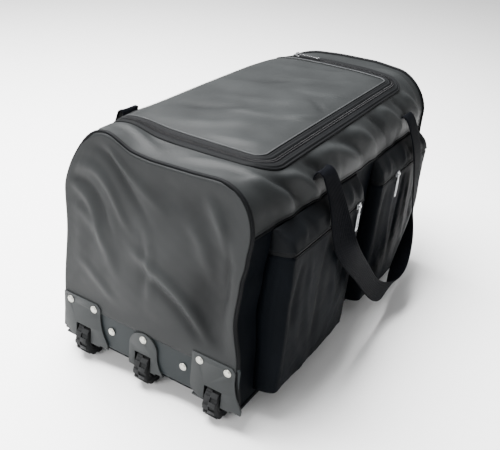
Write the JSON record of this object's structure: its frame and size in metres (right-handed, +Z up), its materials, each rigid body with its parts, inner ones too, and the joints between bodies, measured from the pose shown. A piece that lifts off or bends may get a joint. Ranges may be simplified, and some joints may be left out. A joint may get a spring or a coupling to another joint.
{
  "type": "rolling duffel bag",
  "caption": "Rolling duffel bag with a zipped lid, pockets on both long sides, carry handles, a tow handle and wheels in riveted housings at one end.",
  "frame": {"origin": "on the floor, under the middle of the whole object's length and width", "axes": "+X along the length from the wheel end to the tow end, +Y towards the lid's hinge side, +Z up from the floor; the body leans, with its wheel end raised by the wheels"},
  "size_m": [0.6907, 0.4824, 0.4042],
  "materials": {
    "shell_fabric": "woven polyester with a faint sheen, charcoal",
    "coated_fabric": "coated woven polyester, blue-black",
    "binding": "woven binding tape over cord, black",
    "zip_tape": "woven zip tape with a coil chain, black",
    "webbing": "ribbed polypropylene webbing, black",
    "board": "plain stiffening board, matt",
    "moulding": "moulded plastic, fine matt texture, dark grey",
    "tread": "black tyre compound, matt",
    "grip_foam": "closed-cell foam, matt",
    "rivet_metal": "plated steel rivet, satin",
    "axle_steel": "turned steel, satin",
    "zip_metal": "nickel-plated zinc, bright"
  },
  "bodies": {
    "bag": {"base_panel": "coated_fabric", "base_board": "board", "base_binding": "binding", "wheel_end_panel": "shell_fabric", "tow_end_panel": "shell_fabric", "near_side_panel": "coated_fabric", "far_side_panel": "coated_fabric", "top_panel": "shell_fabric", "wheel_end_piping": "binding", "tow_end_piping": "binding", "kick_strip": "coated_fabric", "backing_board": "board", "main_zip_body_half": "zip_tape", "lid_hinge_tape": "binding", "far_wheel_housing": "moulding", "middle_wheel_housing": "moulding", "near_wheel_housing": "moulding", "housing_rivets": "rivet_metal", "strip_rivets": "rivet_metal", "rivet_washers": "rivet_metal", "wheel_axles": "axle_steel", "near_rear_pocket": "coated_fabric", "near_front_pocket": "coated_fabric", "far_rear_pocket": "coated_fabric", "far_front_pocket": "coated_fabric", "near_rear_pocket_hood": "shell_fabric", "near_front_pocket_hood": "shell_fabric", "far_rear_pocket_hood": "shell_fabric", "far_front_pocket_hood": "shell_fabric", "near_rear_pocket_zip": "zip_tape", "near_front_pocket_zip": "zip_tape", "far_rear_pocket_zip": "zip_tape", "far_front_pocket_zip": "zip_tape", "near_handle_tabs": "webbing", "far_handle_tabs": "webbing", "tow_handle_anchors": "webbing"},
    "lid": {"lid_panel": "shell_fabric", "main_zip_lid_half": "zip_tape", "lid_piping": "binding"},
    "main_slider": {"main_slider": "zip_metal"},
    "main_pull": {"main_pull": "zip_metal"},
    "near_carry_handle": {"near_carry_handle": "webbing"},
    "far_carry_handle": {"far_carry_handle": "webbing"},
    "tow_handle": {"tow_handle_strap": "webbing", "tow_handle_grip": "grip_foam"},
    "far_wheel": {"far_wheel_tyre": "tread", "far_wheel_hub": "moulding"},
    "middle_wheel": {"middle_wheel_tyre": "tread", "middle_wheel_hub": "moulding"},
    "near_wheel": {"near_wheel_tyre": "tread", "near_wheel_hub": "moulding"},
    "near_rear_slider": {"near_rear_slider": "zip_metal"},
    "near_rear_pull": {"near_rear_pull": "zip_metal"},
    "near_front_slider": {"near_front_slider": "zip_metal"},
    "near_front_pull": {"near_front_pull": "zip_metal"},
    "far_rear_slider": {"far_rear_slider": "zip_metal"},
    "far_rear_pull": {"far_rear_pull": "zip_metal"},
    "far_front_slider": {"far_front_slider": "zip_metal"},
    "far_front_pull": {"far_front_pull": "zip_metal"}
  },
  "joints": [
    {"name": "lid_hinge", "type": "hinge", "parent": "bag", "child": "lid", "pos_m": [0.01039, 0.12653, 0.39496], "axis": [-0.9998, 0, 0.0186], "range_deg": [0, 90]},
    {"name": "main_zip_slide", "type": "slide", "parent": "lid", "child": "main_slider", "axis": [0, -1, 0], "range_m": [0, 0.168]},
    {"name": "main_pull_flip", "type": "hinge", "parent": "main_slider", "child": "main_pull", "pos_m": [0.2601, 0.084, 0.39816], "axis": [-0.9998, 0, 0.0186], "range_deg": [0, 170]},
    {"name": "near_rear_zip_slide", "type": "slide", "parent": "bag", "child": "near_rear_slider", "axis": [0.9981, 0, -0.0623], "range_m": [-0.2, 0.012]},
    {"name": "near_rear_pull_swing", "type": "hinge", "parent": "near_rear_slider", "child": "near_rear_pull", "pos_m": [-0.05444, -0.2082, 0.28254], "axis": [0, 1, 0], "range_deg": [-75, 75]},
    {"name": "near_front_zip_slide", "type": "slide", "parent": "bag", "child": "near_front_slider", "axis": [0.9981, 0, -0.0623], "range_m": [-0.056, 0.157]},
    {"name": "near_front_pull_swing", "type": "hinge", "parent": "near_front_slider", "child": "near_front_pull", "pos_m": [0.12521, -0.2082, 0.27133], "axis": [0, 1, 0], "range_deg": [-75, 75]},
    {"name": "near_carry_handle_fold", "type": "hinge", "parent": "bag", "child": "near_carry_handle", "pos_m": [0.02431, -0.1746, 0.35628], "axis": [-0.9981, 0, 0.0623], "range_deg": [0, 170]},
    {"name": "far_rear_zip_slide", "type": "slide", "parent": "bag", "child": "far_rear_slider", "axis": [0.9981, 0, -0.0623], "range_m": [-0.2, 0.012]},
    {"name": "far_rear_pull_swing", "type": "hinge", "parent": "far_rear_slider", "child": "far_rear_pull", "pos_m": [-0.05444, 0.2082, 0.28254], "axis": [0, 1, 0], "range_deg": [-75, 75]},
    {"name": "far_front_zip_slide", "type": "slide", "parent": "bag", "child": "far_front_slider", "axis": [0.9981, 0, -0.0623], "range_m": [-0.056, 0.157]},
    {"name": "far_front_pull_swing", "type": "hinge", "parent": "far_front_slider", "child": "far_front_pull", "pos_m": [0.12521, 0.2082, 0.27133], "axis": [0, 1, 0], "range_deg": [-75, 75]},
    {"name": "far_carry_handle_fold", "type": "hinge", "parent": "bag", "child": "far_carry_handle", "pos_m": [0.02431, 0.1746, 0.35628], "axis": [0.9981, 0, -0.0623], "range_deg": [0, 170]},
    {"name": "tow_handle_fold", "type": "hinge", "parent": "bag", "child": "tow_handle", "pos_m": [0.3261, 0, 0.23124], "axis": [0, -1, 0], "range_deg": [0, 165]},
    {"name": "far_wheel_spin", "type": "hinge", "parent": "bag", "child": "far_wheel", "pos_m": [-0.31035, 0.127, 0.035], "axis": [0, 1, 0], "continuous": true},
    {"name": "middle_wheel_spin", "type": "hinge", "parent": "bag", "child": "middle_wheel", "pos_m": [-0.31035, 0.005, 0.035], "axis": [0, 1, 0], "continuous": true},
    {"name": "near_wheel_spin", "type": "hinge", "parent": "bag", "child": "near_wheel", "pos_m": [-0.31035, -0.127, 0.035], "axis": [0, 1, 0], "continuous": true}
  ]
}
